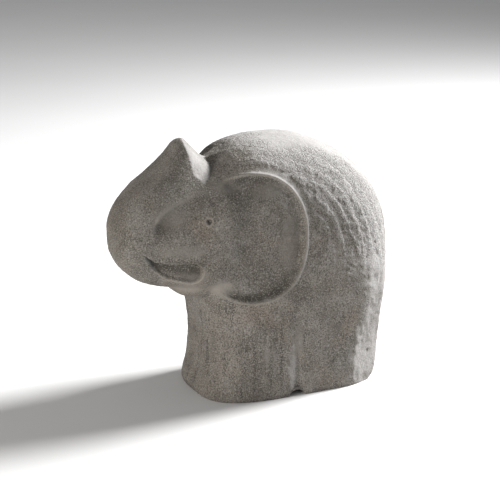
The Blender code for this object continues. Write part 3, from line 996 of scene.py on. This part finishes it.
class Tree:
    """A shorthand for adding and joining shader nodes."""

    def __init__(self, name):
        self.material = bpy.data.materials.new(name)
        self.material.use_nodes = True
        self.nodes = self.material.node_tree.nodes
        self.links = self.material.node_tree.links
        self.shader = self.nodes["Principled BSDF"]
        self.spot = self.add("TexCoord").outputs["Object"]

    def add(self, kind, **settings):
        node = self.nodes.new("ShaderNode" + kind)
        for name, value in settings.items():
            setattr(node, name, value)
        return node

    def feed(self, socket, value):
        """Links a socket to the input, or sets the input to a plain value."""
        if isinstance(value, bpy.types.NodeSocket):
            self.links.new(value, socket)
        else:
            socket.default_value = value

    def noise(self, scale, detail=2.0, roughness=0.5, stretch=None):
        node = self.add("TexNoise")
        self.feed(node.inputs["Vector"], self.stretched(stretch) if stretch else self.spot)
        node.inputs["Scale"].default_value = scale
        node.inputs["Detail"].default_value = detail
        node.inputs["Roughness"].default_value = roughness
        return node.outputs["Fac"]

    def stretched(self, factors):
        node = self.add("Mapping")
        self.feed(node.inputs["Vector"], self.spot)
        node.inputs["Scale"].default_value = factors
        return node.outputs["Vector"]

    def math(self, operation, a, b):
        node = self.add("Math", operation=operation)
        self.feed(node.inputs[0], a)
        self.feed(node.inputs[1], b)
        return node.outputs[0]

    def product(self, first, *others):
        for other in others:
            first = self.math("MULTIPLY", first, other)
        return first

    def ramp(self, value, ends):
        """A smooth ramp of a value: where it starts and ends, then what it gives at both ends."""
        node = self.add("MapRange", interpolation_type="SMOOTHSTEP")
        self.feed(node.inputs["Value"], value)
        for name, number in zip(("From Min", "From Max", "To Min", "To Max"), ends):
            node.inputs[name].default_value = number
        return node.outputs["Result"]

    def mix(self, share, a, b):
        node = self.add("Mix", data_type="RGBA")
        self.feed(node.inputs[0], share)
        self.feed(node.inputs[6], a)
        self.feed(node.inputs[7], b)
        return node.outputs[2]

    def marked(self, name):
        """What the skin's vertices hold under the name."""
        return self.add("Attribute", attribute_name=name).outputs["Fac"]

    def bump(self, height, strength, distance):
        node = self.add("Bump")
        node.inputs["Distance"].default_value = distance
        self.feed(node.inputs["Strength"], strength)
        self.feed(node.inputs["Height"], height)
        return node


def cement_colour(t, smooth, bleached_and_lit):
    """Grey cement in patches, warmer and cooler here and there, and bleached, with painted light on top."""
    colour = t.mix(t.ramp(t.noise(*PATCH_NOISE), PATCH_RAMP), CEMENT_DARK, CEMENT_PALE)
    for scale, ends, tint in CEMENT_TINTS:
        colour = t.mix(t.ramp(t.noise(scale), ends), colour, tint)
    colour = t.mix(t.product(smooth, SMOOTH_COVER), colour, CEMENT_SMOOTH)
    return t.mix(bleached_and_lit, colour, CEMENT_BLEACHED_LIT)


def comb_colour(t, colour, combed, crest):
    """Strokes with painted shade in their troughs and painted highlights on their crests."""
    trough = t.ramp(t.math("SUBTRACT", combed, crest), TROUGH_RAMP)
    colour = t.mix(trough, colour, TROUGH_SHADE)
    return t.mix(t.ramp(crest, CREST_RAMP), colour, CREST_HIGHLIGHT)


def stain_shade_and_highlight_colour(t, colour, sand, painted_shade, bleached_and_lit, painted_highlight):
    """Drips down the legs, painted shade in the corners and painted highlights on raised edges."""
    height = t.add("SeparateXYZ")
    t.feed(height.inputs[0], t.spot)
    low_down = t.product(t.ramp(height.outputs["Z"], DRIP_UP_RAMP), t.ramp(bleached_and_lit, DRIP_BLEACHED_LIT_RAMP))
    drips = t.ramp(t.noise(*DRIP_NOISE, stretch=DRIP_STRETCH), DRIP_RAMP)
    colour = t.mix(t.product(drips, low_down, t.ramp(sand, DRIP_SAND_RAMP)), colour, DRIP)
    # painted shade in corners and hollows
    colour = t.mix(t.product(painted_shade, SHADE_COVER), colour, SHADE_COLOUR)
    # painted highlight on raised edges
    return t.mix(t.product(painted_highlight, HIGHLIGHT_COVER), colour, HIGHLIGHT_COLOUR)


def sandiness(t, smooth, combed, bleached_and_lit, painted_highlight):
    """How much the sand shows: less where the skin is smooth or has a painted highlight, or is bleached with
    painted light and bare of combing.
    """
    bare = t.product(bleached_and_lit, t.ramp(combed, SANDY_COMBED_RAMP))
    kept = t.product(t.ramp(smooth, SANDY_SMOOTH_RAMP), t.ramp(painted_highlight, SANDY_HIGHLIGHT_RAMP))
    return t.product(kept, t.math("SUBTRACT", 1.0, bare))


def sand_colour(t, colour, sand, sandy, bleached_and_lit):
    """Dark and pale grains, paler where bleached with painted light, and a few open pores."""
    dark = t.mix(bleached_and_lit, DARK_SAND, DARK_SAND_BLEACHED_LIT)
    colour = t.mix(t.product(t.ramp(sand, DARK_SAND_RAMP), sandy), colour, dark)
    pale = t.mix(bleached_and_lit, PALE_SAND, PALE_SAND_BLEACHED_LIT)
    colour = t.mix(t.product(t.ramp(sand, PALE_SAND_RAMP), sandy), colour, pale)
    pores = t.add("TexVoronoi")
    t.feed(pores.inputs["Vector"], t.spot)
    pores.inputs["Scale"].default_value = PORE_SCALE
    pore = t.ramp(pores.outputs["Distance"], PORE_RAMP)
    sparse = t.ramp(t.noise(*SPARSE_NOISE), SPARSE_RAMP)
    return t.mix(t.product(pore, sparse, sandy), colour, PORE)


def weathered_concrete():
    """Cement, comb strokes, stains, painted shade and highlights, sand and pores, one over the other, on a
    matt and grainy surface.
    """
    t = Tree("weathered_concrete")
    smooth, combed, painted_shade = t.marked("smooth"), t.marked("combed"), t.marked("painted_shade")
    bleached_and_lit, painted_highlight, crest = t.marked("bleached_and_lit"), t.marked("painted_highlight"), t.marked("crest")
    sand = t.noise(*SAND_NOISE)
    sandy = sandiness(t, smooth, combed, bleached_and_lit, painted_highlight)

    colour = cement_colour(t, smooth, bleached_and_lit)
    colour = comb_colour(t, colour, combed, crest)
    colour = stain_shade_and_highlight_colour(t, colour, sand, painted_shade, bleached_and_lit, painted_highlight)
    colour = sand_colour(t, colour, sand, sandy, bleached_and_lit)
    t.feed(t.shader.inputs["Base Color"], colour)
    t.feed(t.shader.inputs["Roughness"], t.ramp(t.noise(*ROUGH_NOISE), ROUGH_RAMP))
    t.shader.inputs["Specular IOR Level"].default_value = GLOSS

    fine = t.bump(sand, t.product(sandy, t.ramp(combed, FINE_RAMP)), FINE_HEIGHT)
    coarse = t.bump(t.noise(*COARSE_NOISE), t.ramp(combed, COARSE_RAMP), COARSE_HEIGHT)
    t.feed(coarse.inputs["Normal"], fine.outputs["Normal"])
    t.feed(t.shader.inputs["Normal"], coarse.outputs["Normal"])
    return t.material


def pale_floor():
    """A plain matt floor."""
    bm = bmesh.new()
    bmesh.ops.create_grid(bm, x_segments=1, y_segments=1, size=FLOOR_HALF)
    mesh = bpy.data.meshes.new("floor")
    bm.to_mesh(mesh)
    bm.free()
    floor = bpy.data.objects.new("floor", mesh)
    bpy.context.scene.collection.objects.link(floor)
    t = Tree("pale_floor")
    t.feed(t.shader.inputs["Base Color"], t.mix(t.noise(FLOOR_SCALE), *FLOOR_TONES))
    t.shader.inputs["Roughness"].default_value = FLOOR_ROUGHNESS
    floor.data.materials.append(t.material)


def lamp(name, size, power, spot, colour):
    """A round soft lamp."""
    data = bpy.data.lights.new(name, "AREA")
    data.shape = "DISK"
    data.size = size
    data.energy = power
    data.color = colour
    obj = bpy.data.objects.new(name, data)
    bpy.context.scene.collection.objects.link(obj)
    obj.location = spot
    obj.rotation_euler = (Vector(LAMP_AIM) - Vector(spot)).to_track_quat("-Z", "Y").to_euler()


def studio():
    """An even sky, a key lamp high behind the statue and a weak, low one before its head."""
    bpy.context.scene.view_settings.view_transform = "Standard"
    world = bpy.data.worlds.new("soft_sky")
    world.use_nodes = True
    sky = world.node_tree.nodes["Background"]
    sky.inputs["Color"].default_value = SKY_COLOUR
    sky.inputs["Strength"].default_value = SKY_STRENGTH
    bpy.context.scene.world = world
    for settings in LAMPS:
        lamp(*settings)


def camera():
    """The photograph's view of the statue."""
    azimuth, elevation = math.radians(CAMERA_AZIMUTH), math.radians(CAMERA_ELEVATION)
    ca, sa = math.cos(azimuth), math.sin(azimuth)
    ce, se = math.cos(elevation), math.sin(elevation)
    back = Vector((sa * ce, -ca * ce, se))
    right = Vector((ca, sa, 0.0))
    above = Vector((-sa * se, ca * se, ce))
    aim = Vector((0.0, 0.0, HEIGHT / 2)) + (right * AIM_RIGHT + above * AIM_ABOVE) / PIXELS_PER_METRE
    data = bpy.data.cameras.new("camera")
    data.sensor_width = SENSOR_WIDTH
    data.lens = SENSOR_WIDTH * PIXELS_PER_METRE * CAMERA_DISTANCE / PHOTO_SIDE
    obj = bpy.data.objects.new("camera", data)
    bpy.context.scene.collection.objects.link(obj)
    obj.location = aim + back * CAMERA_DISTANCE
    obj.rotation_euler = (-back).to_track_quat("-Z", "Y").to_euler()
    bpy.context.scene.camera = obj


def main():
    skin = build_skin()
    skin.data.materials.append(weathered_concrete())
    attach(skin, "root")
    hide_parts("elephant")
    pale_floor()
    studio()
    camera()


main()
